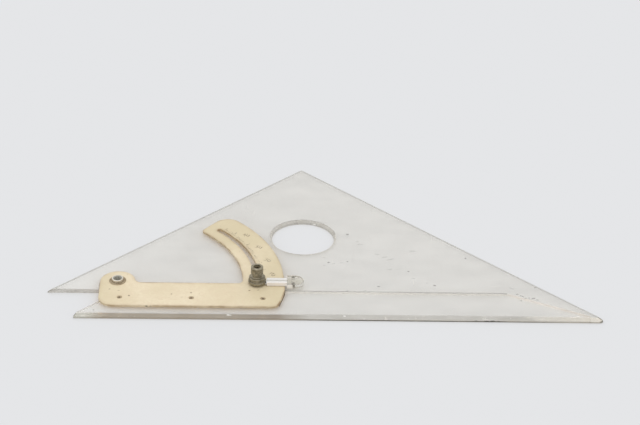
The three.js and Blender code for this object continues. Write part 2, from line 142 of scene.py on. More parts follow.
def inset(points, amount):
    """The outline moved inwards, for a loop that runs anticlockwise."""
    moved = []
    for i, point in enumerate(points):
        before, here, after = Vector(points[i - 1]), Vector(point), Vector(points[(i + 1) % len(points)])
        along_in, along_out = (here - before).normalized(), (after - here).normalized()
        side = Vector((-along_in.y - along_out.y, along_in.x + along_out.x)).normalized()
        reach = amount / max(0.3, side.dot(Vector((-along_in.y, along_in.x))))
        moved.append(tuple(here + side * reach))
    return moved


# Solids


def new_object(name, mesh, body, looks, *replaced):
    obj = bpy.data.objects.new(name, mesh)
    bpy.context.scene.collection.objects.link(obj)
    for look in looks:
        mesh.materials.append(look)
    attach(obj, body)
    if replaced:
        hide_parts(*replaced)
    return obj


def smooth(obj, degrees=35):
    obj.data.shade_smooth()
    obj.data.set_sharp_from_angle(angle=math.radians(degrees))
    weighted = obj.modifiers.new("even_normals", "WEIGHTED_NORMAL")
    weighted.keep_sharp = True
    return obj


def to_mesh(bm, name):
    mesh = bpy.data.meshes.new(name)
    bm.to_mesh(mesh)
    bm.free()
    return mesh


def stacked(outer, holes=(), paint=None):
    """A mesh from loops of points at heights, bottom to top, for the outside and for each hole."""
    bm = bmesh.new()
    bottom, top = [], []
    for sign, levels in [(1, outer)] + [(-1, hole) for hole in holes]:
        rings = [[bm.verts.new(at(x, y, z)) for x, y in points] for z, points in levels]
        for low, high in zip(rings, rings[1:], strict=False):
            for i in range(len(low)):
                corners = [low[i - 1], low[i], high[i], high[i - 1]]
                bm.faces.new(corners if sign > 0 else corners[::-1])
        bottom.append(rings[0])
        top.append(rings[-1])
    for loops, facing in ((bottom, -1), (top, 1)):
        verts = [v for loop in loops for v in loop]
        for tri in tessellate_polygon([[v.co for v in loop] for loop in loops]):
            face = bm.faces.new([verts[i] for i in tri])
            face.normal_update()
            if face.normal.z * facing < 0:
                face.normal_flip()
    bmesh.ops.recalc_face_normals(bm, faces=bm.faces)
    if paint:
        for face in bm.faces:
            face.normal_update()
            face.material_index = paint(local(face.calc_center_median()), face.normal)
    return to_mesh(bm, "stacked")


def bored(x, y, sizes, steps):
    """Loops of a round hole, from its (height, radius) pairs, bottom to top."""
    return [(z, circle(x, y, radius, steps)) for z, radius in sizes]


def soft_levels(points, bottom, top, arris):
    """Loops for a plain upright wall whose bottom and top arrises are rounded."""
    levels = []
    for i in range(4):
        turn = math.pi / 2 * i / 3
        z = bottom + arris * (1 - math.cos(turn))
        levels.append((z, inset(points, arris * (1 - math.sin(turn)))))
    return levels + [(bottom + top - z, loop) for z, loop in reversed(levels)]


def turned(profile, x, y, steps=72, tooth=None):
    """A closed mesh from (radius, height) points about an upright axis; tooth shifts the radius."""
    bm = bmesh.new()
    groove = bm.verts.layers.float.new("groove")
    rings = []
    for index, (radius, height) in enumerate(profile):
        if radius == 0:
            rings.append([bm.verts.new(at(x, y, height))])
            continue
        ring = []
        for i in range(steps):
            angle = math.tau * i / steps
            depth = tooth(index, angle) if tooth else 0
            reach = radius - depth
            vert = bm.verts.new(at(x + reach * math.cos(angle), y + reach * math.sin(angle), height))
            vert[groove] = depth
            ring.append(vert)
        rings.append(ring)
    pairs = list(zip(rings, rings[1:], strict=False))
    if profile[0] == profile[-1]:
        bmesh.ops.delete(bm, geom=rings[-1], context="VERTS")
        pairs[-1] = (rings[-2], rings[0])
    for low, high in pairs:
        for i in range(steps):
            corners = [low[(i - 1) % len(low)], low[i % len(low)]]
            corners += [high[i % len(high)], high[(i - 1) % len(high)]]
            corners = list(dict.fromkeys(corners))
            if len(corners) > 2:
                bm.faces.new(corners)
    bmesh.ops.recalc_face_normals(bm, faces=bm.faces)
    return to_mesh(bm, "turned")


def rounded_profile(points, radius, steps=3):
    """A (radius, height) profile whose inner corners are rounded; its two ends stay."""
    out = [points[0]]
    for before, corner, after in zip(points, points[1:], points[2:], strict=False):
        here = Vector(corner)
        back, ahead = Vector(before) - here, Vector(after) - here
        reach = min(radius, back.length / 2, ahead.length / 2)
        start, end = here + back.normalized() * reach, here + ahead.normalized() * reach
        for i in range(steps + 1):
            t = i / steps
            out.append(tuple(start * (1 - t) ** 2 + here * 2 * t * (1 - t) + end * t**2))
    return out + [points[-1]]


def washer(place, inner, outer, low, high, edge, steps=72):
    """A flat ring about an upright axis, whose outer edges are rounded."""
    ring = rounded_profile([(inner, low), (outer, low), (outer, high), (inner, high)], edge)
    return turned(ring + [ring[0]], *place, steps)


def patches(name, body, look, polygons):
    """A piece of thin flat polygons, each a list of points in millimetres."""
    bm = bmesh.new()
    for polygon in polygons:
        bm.faces.new([bm.verts.new(at(*point)) for point in polygon])
    new_object(name, to_mesh(bm, name), body, [look])


# Materials


class Look:
    """A node material under construction."""

    def __init__(self, name):
        self.material = bpy.data.materials.new(name)
        self.material.use_nodes = True
        self.tree = self.material.node_tree
        self.tree.nodes.clear()
        self.output = self.tree.nodes.new("ShaderNodeOutputMaterial")
        self.place = self.add("TexCoord").outputs["Object"]

    def add(self, kind, **values):
        """A shader node. i_ and a number, or an input's name, feeds an input; other names set the node."""
        node = self.tree.nodes.new("ShaderNode" + kind)
        for key, value in values.items():
            numbered = key.startswith("i_")
            socket = node.inputs[int(key[2:])] if numbered else node.inputs.get(key.replace("_", " "))
            if socket is None:
                setattr(node, key, value)
            elif isinstance(value, bpy.types.NodeSocket):
                self.tree.links.new(value, socket)
            else:
                socket.default_value = value
        return node

    def math(self, operation, a, b, clamp=False):
        return self.add("Math", operation=operation, use_clamp=clamp, i_0=a, i_1=b).outputs[0]

    def noise(self, scale, detail=3.0, rough=0.5, stretch=None, turn=0.0):
        vector = self.place
        if stretch:
            vector = self.add("Mapping", Vector=vector, Scale=stretch, Rotation=(0, 0, turn)).outputs[0]
        return self.add("TexNoise", Vector=vector, Scale=scale, Detail=detail, Roughness=rough).outputs[0]

    def ramp(self, value, low, high, out_low=0.0, out_high=1.0):
        ends = dict(From_Min=low, From_Max=high, To_Min=out_low, To_Max=out_high)
        return self.add("MapRange", Value=value, **ends).outputs[0]

    def blend(self, factor, a, b):
        """One colour turned into another; a Mix node keeps its colours at inputs 6 and 7."""
        return self.add("Mix", data_type="RGBA", i_0=factor, i_6=a, i_7=b).outputs[2]

    def along(self, start, end, axis="X"):
        """0 before one place and 1 after another, in millimetres along the base edge or up from it."""
        here = self.add("SeparateXYZ", Vector=self.place).outputs[axis]
        offset = CORNER["XYZ".index(axis)]
        return self.ramp(here, (offset + start) * MM, (offset + end) * MM)

    def attribute(self, name):
        return self.add("Attribute", attribute_name=name).outputs["Fac"]

    def passing(self):
        """1 for rays that carry light through a surface, and 0 for those that show it."""
        path = self.add("LightPath")
        return self.math("MAXIMUM", path.outputs["Is Shadow Ray"], path.outputs["Is Diffuse Ray"])

    def bump(self, height, strength, distance):
        return self.add("Bump", Height=height, Strength=strength, Distance=distance).outputs[0]

    def mix(self, factor, a, b):
        return self.add("MixShader", i_0=factor, i_1=a, i_2=b).outputs[0]

    def done(self, shader):
        self.tree.links.new(shader, self.output.inputs["Surface"])
        return self.material


def rgb(red, green, blue):
    """A colour as it is read on a screen, 0 to 255, turned to the linear values that shaders use."""
    linear = [((v / 255 + 0.055) / 1.055) ** 2.4 if v > 10 else v / 255 / 12.92 for v in (red, green, blue)]
    return (*linear, 1.0)


ACRYLIC_IOR = 1.49
# Share of the haze that light meets on its way through a sheet
LIT_HAZE = 0.35
# Light that the scale plate lets through
GLOW = 0.6
# Where the triangle's left end turns paler, from and to
PALE_FROM, PALE_TO = 60, 0


def acrylic(name, tint, haze_colour, haze, shine=0.06, ages_and_shade=(), streaks=0.0, pale_end=0.0):
    """Clear sheet: what lies behind shows through a tint and a thin haze, under a clear gloss.

    Each age or shade is (start, end, colour): the haze turns to that colour between two places along the
    base
    edge: yellowing with age towards the tip, and painted shade beside the scale plate. streaks is the
    strength of saw lines and stains, and pale_end the haze that the left end gains.
    """
    look = Look(name)
    saw_grey, stain_brown, smoke_grey, clean_white = (
        rgb(150, 144, 134), rgb(168, 154, 134), rgb(172, 169, 160), rgb(255, 254, 251)
    )
    veil_colour = rgb(*haze_colour)
    for start, end, colour in ages_and_shade:
        veil_colour = look.blend(look.along(start, end), veil_colour, rgb(*colour))
    if streaks:
        lines = look.noise(2600.0, stretch=(0.03, 1, 1))
        veil_colour = look.blend(look.ramp(lines, 0.42, 0.68, 0.0, streaks), veil_colour, saw_grey)
        stains = look.noise(330.0, 4.0, stretch=(0.35, 1, 1))
        veil_colour = look.blend(look.ramp(stains, 0.5, 0.75, 0.0, streaks), veil_colour, stain_brown)
    if pale_end:
        smoke = look.noise(120.0, 4.0, 0.6, stretch=(0.35, 1, 1))
        veil_colour = look.blend(look.ramp(smoke, 0.35, 0.65), smoke_grey, veil_colour)
        veil_colour = look.blend(look.along(PALE_FROM, PALE_TO), veil_colour, clean_white)
    hairs = look.ramp(look.noise(900.0, 2.0, stretch=(1, 0.04, 1), turn=0.7), 0.68, 0.74)
    cross = look.ramp(look.noise(800.0, 2.0, stretch=(0.05, 1, 1), turn=-0.3), 0.69, 0.75)
    patch = look.ramp(look.noise(25.0), 0.45, 0.7)
    worn = look.math("MULTIPLY", look.math("MAXIMUM", hairs, cross), patch)
    cloud = look.noise(60.0, 4.0)
    share = look.ramp(cloud, 0.3, 0.7, haze * 0.9, haze * 1.12)
    share = look.math("ADD", share, look.math("MULTIPLY", worn, 0.12))
    if pale_end:
        gained = look.math("MULTIPLY", look.along(PALE_FROM, PALE_TO), pale_end)
        share = look.math("ADD", share, gained)
    rough = look.ramp(cloud, 0.35, 0.7, shine, shine * 2)
    rough = look.math("ADD", rough, look.math("MULTIPLY", worn, 0.3))
    glass = look.add("BsdfGlass", Color=rgb(*tint), Roughness=rough, IOR=ACRYLIC_IOR).outputs[0]
    clear = look.add("BsdfTransparent", Color=rgb(*tint)).outputs[0]
    veil = look.add("BsdfDiffuse", Color=veil_colour).outputs[0]
    passing = look.passing()
    share = look.math("MULTIPLY", share, look.ramp(passing, 0, 1, 1.0, LIT_HAZE))
    return look.done(look.mix(share, look.mix(passing, glass, clear), veil))


def plastic():
    """Cream plastic: blotched, browned along its rim and where hands hold it, and a little translucent. The
    rim colour also paints shade on the slot's walls and the plate's bottom edge, and a shadow on the outer
    edge beside the clamp.
    """
    look = Look("cream_plastic")
    pale, deep, faded, mottled = (
        rgb(240, 226, 197), rgb(228, 213, 181), rgb(226, 206, 176), rgb(220, 203, 168)
    )
    touched, browned_and_shaded, speckled = rgb(208, 195, 158), rgb(158, 130, 96), rgb(120, 92, 60)
    colour = look.blend(look.ramp(look.noise(45.0, 5.0, 0.6), 0.35, 0.65), pale, deep)
    colour = look.blend(look.ramp(look.noise(260.0, 4.0, 0.6), 0.42, 0.7, 0.0, 0.5), colour, faded)
    grain = look.noise(700.0)
    colour = look.blend(look.ramp(grain, 0.35, 0.75, 0.0, 0.4), colour, mottled)
    handled = look.math("MAXIMUM", look.along(88, 112), look.along(62, 76, "Y"))
    handled = look.math("MAXIMUM", handled, look.along(24, 8))
    colour = look.blend(look.math("MULTIPLY", handled, 0.54), colour, touched)
    uneven = look.ramp(look.noise(170.0, 4.0), 0.36, 0.62, 0.25, 1.0)
    rim = look.math("MULTIPLY", look.attribute("rim"), uneven, clamp=True)
    # Brown rim, which is also painted shade on the slot's walls and bottom edge, and a painted shadow
    # beside the clamp
    colour = look.blend(rim, colour, browned_and_shaded)
    specks = look.ramp(look.noise(420.0, 1.0, 0.3), 0.77, 0.8)
    colour = look.blend(look.math("MULTIPLY", specks, 0.55), colour, speckled)
    rough = look.ramp(look.noise(120.0), 0.3, 0.7, 0.38, 0.55)
    normal = look.bump(grain, 0.12, 0.0002)
    shader = look.add("BsdfPrincipled", Base_Color=colour, Roughness=rough, Normal=normal).outputs[0]
    warm = look.add("BsdfTransparent", Color=rgb(250, 232, 203)).outputs[0]
    return look.done(look.mix(look.math("MULTIPLY", look.passing(), GLOW), shader, warm))


def metal(name, bright, dark, rough, patina, metallic=1.0, drawn=None):
    """Metal under a cloudy patina, with dirt in its knurl; drawn stretches the grain along a bar."""
    look = Look(name)
    grain = 500.0
    cloud = look.ramp(look.noise(grain, 5.0, 0.6, stretch=drawn), 0.4, 0.68, 0.0, patina)
    fine = look.noise(grain * 5, stretch=drawn)
    in_knurl = look.ramp(look.attribute("groove"), 0.05, 0.2, 0.0, 0.6)
    dirt = look.math("ADD", cloud, in_knurl, clamp=True)
    colour = look.blend(dirt, rgb(*bright), rgb(*dark))
    roughness = look.ramp(fine, 0.3, 0.7, rough, rough + 0.12)
    roughness = look.math("ADD", roughness, look.math("MULTIPLY", dirt, 0.25))
    normal = look.bump(fine, 0.15, 0.00003)
    shader = look.add(
        "BsdfPrincipled", Base_Color=colour, Metallic=metallic, Roughness=roughness, Normal=normal
    )
    return look.done(shader.outputs[0])


def block_glass():
    """The arm's clear block, a little hazed."""
    look = Look("block_acrylic")
    glass = look.add(
        "BsdfPrincipled", Base_Color=rgb(250, 249, 244), Transmission_Weight=1.0, IOR=ACRYLIC_IOR,
        Roughness=look.ramp(look.noise(300.0), 0.3, 0.7, 0.02, 0.08),
    ).outputs[0]
    veil = look.add("BsdfDiffuse", Color=rgb(222, 218, 208)).outputs[0]
    clear = look.add("BsdfTransparent", Color=rgb(246, 244, 238)).outputs[0]
    share = look.ramp(look.noise(420.0, 4.0), 0.35, 0.7, 0.08, 0.24)
    return look.done(look.mix(share, look.mix(look.passing(), glass, clear), veil))


def cover(look, share, colour, roughness):
    """A thin layer of one colour over what is under it, as far as its share says."""
    shader = look.add("BsdfPrincipled", Base_Color=rgb(*colour), Roughness=roughness).outputs[0]
    clear = look.add("BsdfTransparent").outputs[0]
    return look.done(look.mix(share, clear, shader))


def ink():
    look = Look("printed_ink")
    worn = look.ramp(look.noise(900.0), 0.42, 0.6)
    return cover(look, look.math("MULTIPLY", worn, 0.85), (98, 76, 52), 0.6)


def mark(name, colour, low, high):
    """Dirt, a stain, a chip, or a painted shadow: an uneven colour that lets some of what is under it show.
    """
    look = Look(name)
    return cover(look, look.ramp(look.noise(1500.0), 0.35, 0.65, low, high), colour, 0.7)


# Where the base edge's colour turns, in millimetres along it: UNDER_PLATE and DEEP bring in painted shade
# beside the scale plate, and CLEAN is where it ends
LEFT_OF_PLATE, UNDER_PLATE, DEEP, CLEAN = (-10, 5), (6, 15), (90, 100), (114, 131)
OLD_END, TIP, LAND_TIP = (254, 276), (284, 297), (290, 298)
SHEET = acrylic("sheet_face", (252.8, 252.2, 250.8), (236, 233, 225), 0.07, pale_end=0.035)
EDGE = acrylic("sheet_edge", (252, 251, 249), (246, 245, 242), 0.35, 0.3)
HAZED = acrylic("sheet_hazed_edge", (250, 249, 246), (232, 230, 226), 0.6, 0.2)
HOLE = acrylic("sheet_hole", (236, 233, 226), (219, 216, 209), 0.7, 0.2, streaks=0.2)
FRONT = acrylic(
    "sheet_front", (240, 238, 232), (206, 203, 198), 0.72, 0.15,
    [(*LEFT_OF_PLATE, (212, 208, 203))],
    0.15,
)
# The bevel's haze: painted shade beside the scale plate, and yellowing with age towards the tip
BEVEL = acrylic(
    "sheet_bevel", (240, 238, 232), (206, 205, 195), 0.72, 0.15,
    [(*UNDER_PLATE, (184, 175, 161)), (*DEEP, (172, 163, 151)), (*CLEAN, (218, 216, 210)),
     (*OLD_END, (220, 217, 208)), (*TIP, (239, 231, 218))],
    0.18,
)
# The land below DARK_FOOT: painted contact shadow, darkest from CLEAN on, with painted shade beside the
# scale plate
SHADOWED_LAND = acrylic(
    "sheet_land_painted_shadow", (205, 200, 190), (192, 190, 180), 0.8, 0.3,
    [(*UNDER_PLATE, (170, 160, 147)), (*CLEAN, (72, 70, 66)), (*OLD_END, (176, 170, 160)),
     (*LAND_TIP, (222, 212, 197))],
    0.3,
)
# A painted highlight: the pale band at the top of the strip's bevel, just under its arris
LIP_HIGHLIGHT = acrylic("sheet_lip_painted_highlight", (252, 251, 248), (232, 229, 224), 0.6, 0.12)
FROSTED = acrylic("block_frost", (252, 251, 248), (255, 250, 240), 0.72, 0.12)
JOINT = acrylic("sheet_joint", (253, 252, 249), (244, 241, 235), 0.7, 0.2)
# The arris along the joint is darker: dirt, and painted shade of the gap between the sheets
CRACK = acrylic("sheet_arris", (245, 243, 238), (214, 211, 203), 0.5, 0.3)
PALE = acrylic("sheet_pale_joint", (254, 252, 249), (255, 248, 240), 0.65, 0.2)
# Painted shade: a darker line along the top of the legs, where the bevel shows through the sheet
DARK_LEG_LINE = acrylic("sheet_leg_line", (240, 239, 236), (184, 183, 179), 0.45, 0.2)
# Painted shade: the darker outline of the legs' ends, the foot at the tip and the strip's cut corner
SHADED_TIP = acrylic("sheet_tip_painted_shade", (200, 196, 188), (142, 137, 127), 0.7, 0.2)
CREAM = plastic()
DRAWN = (0.06, 1, 1)
DARK = metal("dark_brass", (174, 166, 146), (110, 104, 88), 0.42, 0.8)
BROWN = metal("brown_brass", (192, 176, 148), (146, 128, 100), 0.45, 0.8, metallic=0.5)
# Painted shade in the hollow of the rivets' heads
SHADED_DIMPLE = metal("dimple_painted_shade", (120, 102, 80), (78, 62, 44), 0.5, 0.8, metallic=0.3)
WASHER = metal("stained_washer", (186, 170, 144), (140, 122, 94), 0.5, 0.8, metallic=0.5)
NICKEL = metal("nickel", (242, 239, 234), (210, 206, 198), 0.16, 0.3, metallic=0.45, drawn=DRAWN)
EYELET = metal("worn_nickel", (234, 228, 216), (178, 170, 156), 0.25, 0.5, metallic=0.75)
BORE = metal("tarnished_bore", (202, 200, 190), (164, 160, 148), 0.4, 0.8, metallic=0.1)
# A lighter copy of the nickel for the arm's faces that face forward: painted light
LIT_NICKEL = metal("nickel_front_painted_light", (255, 250, 244), (240, 233, 222), 0.3, 0.3, metallic=0.15, drawn=DRAWN)
PIN = metal("grey_pin", (154, 150, 140), (110, 106, 97), 0.4, 0.8, metallic=0.4)
BLOCK = block_glass()
INK = ink()
GREY_DIRT = mark("grey_dirt", (108, 106, 100), 0.25, 0.65)
SMEAR = mark("smear", (124, 122, 116), 0.0, 0.22)
# Dust, and painted shade of the gap, as a grey line beside the joint
JOINT_DUST_AND_SHADE = mark("joint_dust_and_shade", (158, 155, 147), 0.25, 0.6)
# Painted shadows of the scale plate's edges, cast on the sheets beside it
EDGE_SHADOW_MARK = mark("edge_painted_shadow", (128, 106, 84), 0.25, 0.6)
BROWN_SHADOW_MARK = mark("brown_painted_shadow", (96, 78, 56), 0.5, 0.9)
DARK_DIRT = mark("dark_dirt", (62, 54, 44), 0.4, 0.9)
BROWN_SPOT = mark("brown_spot", (150, 128, 94), 0.15, 0.6)
CHIP = mark("frosted_chip", (250, 249, 245), 0.7, 1.0)

# The sheets' looks and the number of each
SHEET_LOOKS = [SHEET, EDGE, BEVEL, SHADOWED_LAND, JOINT, CRACK, HOLE, FRONT, LIP_HIGHLIGHT, PALE, DARK_LEG_LINE, SHADED_TIP, HAZED]
FACE, WALL, SLOPE, FOOT, SEAM, LINE, BORED, FRONTAL, LIPPED, FAIR, LINED, GREY, HAZY = range(13)


# Clear sheets


def chamfered_hole():
    straight = HOLE_R - HOLE_CHAMFER
    sizes = [
        (0, straight + ARRIS), (ARRIS, straight), (SHEET_TOP - HOLE_CHAMFER, straight),
        (SHEET_TOP - ARRIS / 2, HOLE_R - ARRIS / 2), (SHEET_TOP, HOLE_R + ARRIS),
    ]
    return bored(HOLE_X, HOLE_Y, sizes, 240)


def seat_hole(x, y, seat, depth, radius, top):
    """A hole with a wider seat sunk in the underside."""
    return bored(x, y, [(0, seat), (depth, seat), (depth, radius), (top, radius)], 36)


def triangle_outline(leg_inset, base_inset, foot_inset):
    """The triangle's loop with its two legs, its joint side and its foot moved in by these amounts."""
    left_r, bend_r, notch_r, heel_r, tip_r, top_r = 0.35, 0.5, 0.2, 0.3, 2.0 - 0.4 * leg_inset, 0.8
    tip_gap = 0.06
    joint_y = JOINT_Y + base_inset
    left_x = LEFT_X + leg_inset * math.sqrt(2)
    right_x = RIGHT_X - (leg_inset + RIGHT_IN) * math.sqrt(2)
    half_turn = math.tan(OBLIQUE_TURN / 2)
    bend_x = OBLIQUE[0] + GAP * half_turn + base_inset * half_turn
    notch_x = STRIP_TIP_X + tip_gap + base_inset
    strip_side = STRIP_Y - JOINT_FALL - (notch_x - OBLIQUE[0]) * math.tan(OBLIQUE_TURN)
    notch_y = strip_side + GAP / math.cos(OBLIQUE_TURN) + base_inset / math.cos(OBLIQUE_TURN)
    return rounded([
        (left_x + joint_y, joint_y, left_r),
        (UNDER_EAR, joint_y, 0),
        (bend_x, joint_y - JOINT_FALL, bend_r),
        (notch_x, notch_y, notch_r),
        (notch_x, foot_inset, heel_r),
        (right_x - foot_inset, foot_inset, tip_r),
        ((left_x + right_x) / 2, (right_x - left_x) / 2, top_r),
    ], 8)


def triangle_levels():
    """The legs' bevel is wider and lower than that of the short foot at the tip."""
    run, drop = SHEET_TOP - LAND, LAND - LEG_LAND
    return [
        (0, triangle_outline(ARRIS, ARRIS, ARRIS)),
        (ARRIS, triangle_outline(0, 0, 0)),
        (LEG_LAND, triangle_outline(0, 0, 0)),
        (DARK_FOOT, triangle_outline(DARK_FOOT - LEG_LAND, 0, 0)),
        (LAND, triangle_outline(drop, 0, 0)),
        (LAND + ARRIS, triangle_outline(drop + ARRIS, 0, ARRIS * 0.6)),
        (SHEET_TOP - ARRIS, triangle_outline(drop + run - ARRIS, 0, run - ARRIS)),
        (SHEET_TOP, triangle_outline(drop + run + ARRIS / 2, ARRIS, run + ARRIS)),
        (SHEET_TOP, triangle_outline(drop + run + LEG_LINE, ARRIS * 2, run + ARRIS * 2)),
    ]


def strip_outline(front_inset, side_inset):
    """The strip's loop; its left end is cut so that the triangle's joint side stops a gap away from it."""
    stop = JOINT_Y - PIVOT[1]
    stop_x = PIVOT[0] + (GAP - stop) * math.sin(SWING)
    stop_y = PIVOT[1] - (GAP - stop) * math.cos(SWING)

    def cut_x(y):
        return stop_x + (y - stop_y) / math.tan(SWING) + side_inset * math.sqrt(2)

    left_r, tip_r, bend_r, back_r = 0.25, 0.1, 0.3, 0.2
    back_y = STRIP_Y - side_inset
    tip_x = STRIP_TIP_X - side_inset
    tip_y = (OBLIQUE[1] - STRIP_TIP_X) * math.tan(OBLIQUE_TURN)
    return rounded([
        (cut_x(front_inset), front_inset, left_r),
        (tip_x, front_inset, tip_r),
        (tip_x, max(tip_y, front_inset + 0.4) - side_inset * 0.5, tip_r),
        (OBLIQUE[0] - side_inset * math.tan(OBLIQUE_TURN / 2), back_y - JOINT_FALL, bend_r),
        (cut_x(back_y), back_y, back_r),
    ], 5)


def strip_levels():
    run = STRIP_TOP - LAND
    return [
        (0, strip_outline(ARRIS, ARRIS)),
        (ARRIS, strip_outline(0, 0)),
        (DARK_FOOT, strip_outline(0, 0)),
        (LAND, strip_outline(0, 0)),
        (LAND + ARRIS, strip_outline(ARRIS * 0.6, 0)),
        (STRIP_TOP - LIP, strip_outline(run - LIP, 0)),
        (STRIP_TOP - ARRIS, strip_outline(run - ARRIS, 0)),
        (STRIP_TOP, strip_outline(run + ARRIS, ARRIS)),
    ]


# A face lies level if its normal's z is above this
LEVEL = 0.9


def paint_triangle(middle, normal):
    """The look of a face, from its middle and its normal."""
    leg_reach, foot_reach, line_edge = 2.3, 1.7, 0.1
    shaded_leg_x, shaded_foot_x, shaded_left, hazy_to = 293, 294, 6, 8
    from_left = middle.x - LEFT_X - middle.y
    from_right = RIGHT_X - middle.x - middle.y - RIGHT_IN * math.sqrt(2)
    from_leg = min(from_left, from_right) / math.sqrt(2)
    if abs(normal.z) > LEVEL:
        beside_bevel = from_leg < SHEET_TOP - LEG_LAND + LEG_LINE - line_edge
        # The top face beside the legs' bevel takes the painted shade line
        return LINED if beside_bevel and middle.z > SHEET_TOP / 2 else FACE
    if math.hypot(middle.x - HOLE_X, middle.y - HOLE_Y) < HOLE_R + 1:
        return BORED
    if from_leg < leg_reach and middle.y > foot_reach:
        # Near both ends the legs take the painted shade
        if middle.x > shaded_leg_x or middle.x < LEFT_X + JOINT_Y + shaded_left:
            return GREY
        return HAZY if middle.x < hazy_to else FACE
    if middle.y < foot_reach:
        # The foot at the tip takes the painted shade
        if middle.x > shaded_foot_x and middle.z < LAND:
            return GREY
        # Below DARK_FOOT the land takes the painted contact shadow
        return FOOT if middle.z < DARK_FOOT else SLOPE
    if middle.x < UNDER_EAR:
        return FRONTAL
    if middle.x > OBLIQUE[0]:
        return FAIR
    # The joint's top arris takes dirt and painted shade
    return LINE if middle.z > SHEET_TOP - ARRIS else SEAM


def paint_strip(middle, normal):
    """The look of a face, from its middle and its normal."""
    bevel_from_x, shaded_corner_y = 3, 1.2
    if abs(normal.z) > LEVEL:
        return FACE
    if middle.y < STRIP_TOP - LAND + ARRIS and middle.x > bevel_from_x:
        # The top of the bevel, just under the arris, takes the painted highlight
        if middle.z > STRIP_TOP - LIP:
            return LIPPED
        # Below DARK_FOOT the land takes the painted contact shadow
        return FOOT if middle.z < DARK_FOOT else SLOPE
    if middle.x < CUT_X and middle.y < STRIP_Y - 1:
        # The strip's cut corner takes the painted shade
        return GREY if middle.y < shaded_corner_y else WALL
    if middle.x > OBLIQUE[0]:
        return FAIR
    # The joint's top arris takes dirt and painted shade
    return LINE if middle.z > STRIP_TOP - ARRIS else SEAM


def clear_sheets():
    pivot_seat = seat_hole(*PIVOT, seat=4.9, depth=1.2, radius=PIVOT_BORE, top=SHEET_TOP)
    stud_seat = seat_hole(*CLAMP, seat=3.5, depth=0.9, radius=STUD_BORE, top=SHEET_TOP)
    mesh = stacked(triangle_levels(), [chamfered_hole(), pivot_seat, stud_seat], paint_triangle)
    smooth(new_object("triangle_sheet", mesh, "swing", SHEET_LOOKS, "triangle"))
    seats = [seat_hole(x, RIVET_Y, seat=2.2, depth=1.1, radius=1.1, top=STRIP_TOP) for x in RIVET_XS]
    mesh = stacked(strip_levels(), seats, paint_strip)
    smooth(new_object("strip_sheet", mesh, "base", SHEET_LOOKS, "base_strip"))


# Scale plate


def meet(y, radius):
    """The point to the right of the pivot, at a height, that lies on a circle about it."""
    return (PIVOT[0] + math.sqrt(radius**2 - (y - PIVOT[1]) ** 2), y)


def bearing(point):
    return math.atan2(point[1] - PIVOT[1], point[0] - PIVOT[0])


def end_centre(radius, reach):
    """The centre of a corner of the plate's upper end, a radius inside it, at a reach from the pivot."""
    across = math.sqrt(reach**2 - radius**2)
    c, s = math.cos(PLATE_END), math.sin(PLATE_END)
    return (PIVOT[0] + across * c + radius * s, PIVOT[1] + across * s - radius * c)


def swell(point):
    """The plate's outer arc stands a little further out beside the clamp."""
    middle, spread, rise = -4, 9, 0.8
    off = (math.degrees(bearing(point)) - middle) / spread
    grown = 1 + rise / PLATE_OUT * max(0.0, 1 - off**2) ** 1.5
    return tuple(Vector(PIVOT) + (Vector(point) - Vector(PIVOT)) * grown)


def plate_outline():
    quarter = math.pi / 2
    low_y, high_y = BAR_Y
    low_r, outer_r, inner_r, armpit_r, ear_r = 4, 9, 2.5, 3, 4
    low_left_x = EAR_LEFT + LOW_LEFT_R + 0.7
    low_right = meet(low_y + low_r, PLATE_OUT - low_r)
    outer, inner = end_centre(outer_r, PLATE_OUT - outer_r), end_centre(inner_r, PLATE_IN + inner_r)
    armpit = meet(high_y + armpit_r, PLATE_IN - armpit_r)
    ear = meet(high_y + ear_r, EAR_R + ear_r)
    outer_arc = arc(*PIVOT, PLATE_OUT, bearing(low_right), bearing(outer), 90)[1:-1]
    return (
        arc(low_left_x, low_y + LOW_LEFT_R, LOW_LEFT_R, -math.pi + 0.05, -quarter, 16)
        + arc(*low_right, low_r, -quarter, bearing(low_right), 14)
        + [swell(point) for point in outer_arc]
        + arc(*outer, outer_r, bearing(outer), PLATE_END + quarter, 16)
        + arc(*inner, inner_r, PLATE_END + quarter, bearing(inner) + math.pi, 10)
        + arc(*PIVOT, PLATE_IN, bearing(inner), bearing(armpit), 80)[1:-1]
        + arc(*armpit, armpit_r, bearing(armpit), -quarter, 12)
        + arc(*ear, ear_r, -quarter, bearing(ear) - math.pi, 8)
        + arc(*PIVOT, EAR_R, bearing(ear), math.pi, 30)[1:]
    )


def slot_outline():
    end = CLAMP_ANGLE + SWING + math.radians(1.2)

    def cap(angle, start):
        return arc(*swung(SLOT_R, angle), SLOT_HALF, start, start + math.pi, 12)[1:-1]

    return (
        arc(*PIVOT, SLOT_R + SLOT_HALF, CLAMP_ANGLE, end, 70)
        + cap(end, end)
        + arc(*PIVOT, SLOT_R - SLOT_HALF, end, CLAMP_ANGLE, 70)
        + cap(CLAMP_ANGLE, CLAMP_ANGLE + math.pi)
    )


def plate_levels(points, side):
    """Loops up a rounded edge and then in over the top; side is 1 outside and -1 at an opening."""
    foot = 0.05
    loops = [(PLATE_LOW, inset(points, side * foot)), (PLATE_LOW + foot, points)]
    loops.append((PLATE_TOP - PLATE_ARRIS, points))
    for i in (1, 2, 3):
        turn = math.pi / 2 * i / 3
        z = PLATE_TOP - PLATE_ARRIS * (1 - math.sin(turn))
        loops.append((z, inset(points, side * PLATE_ARRIS * (1 - math.cos(turn)))))
    return loops + [(PLATE_TOP, inset(points, side * reach)) for reach in RIM_STEPS]


